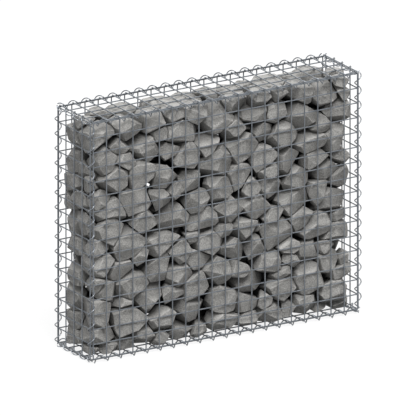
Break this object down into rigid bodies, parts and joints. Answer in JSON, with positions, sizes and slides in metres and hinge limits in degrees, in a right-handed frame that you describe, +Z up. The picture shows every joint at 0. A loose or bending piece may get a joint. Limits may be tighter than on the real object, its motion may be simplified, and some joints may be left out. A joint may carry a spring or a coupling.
{
  "type": "gabion wall",
  "caption": "Stone-filled gabion wall: a tall, narrow basket of welded square mesh, laced along its edges with spiral wire and packed with crushed rock.",
  "frame": {"origin": "middle of the footprint, on the ground under the base spirals", "axes": "+X along the wall to the right of its front, +Y to its back, +Z up"},
  "size_m": [1.0336, 0.2368, 0.8261],
  "materials": {
    "mesh_wire": "galvanised",
    "spiral_wire": "galvanised",
    "stone": "matte"
  },
  "bodies": {
    "root": {"front_mesh": "mesh_wire", "back_mesh": "mesh_wire", "left_mesh": "mesh_wire", "right_mesh": "mesh_wire", "lid_mesh": "mesh_wire", "base_mesh": "mesh_wire", "top_front_spiral": "spiral_wire", "top_back_spiral": "spiral_wire", "top_left_spiral": "spiral_wire", "top_right_spiral": "spiral_wire", "base_front_spiral": "spiral_wire", "base_back_spiral": "spiral_wire", "base_left_spiral": "spiral_wire", "base_right_spiral": "spiral_wire", "front_left_spiral": "spiral_wire", "front_right_spiral": "spiral_wire", "back_left_spiral": "spiral_wire", "back_right_spiral": "spiral_wire", "stone_lift_1": "stone", "stone_lift_2": "stone", "stone_lift_3": "stone", "stone_lift_4": "stone"}
  },
  "joints": []
}
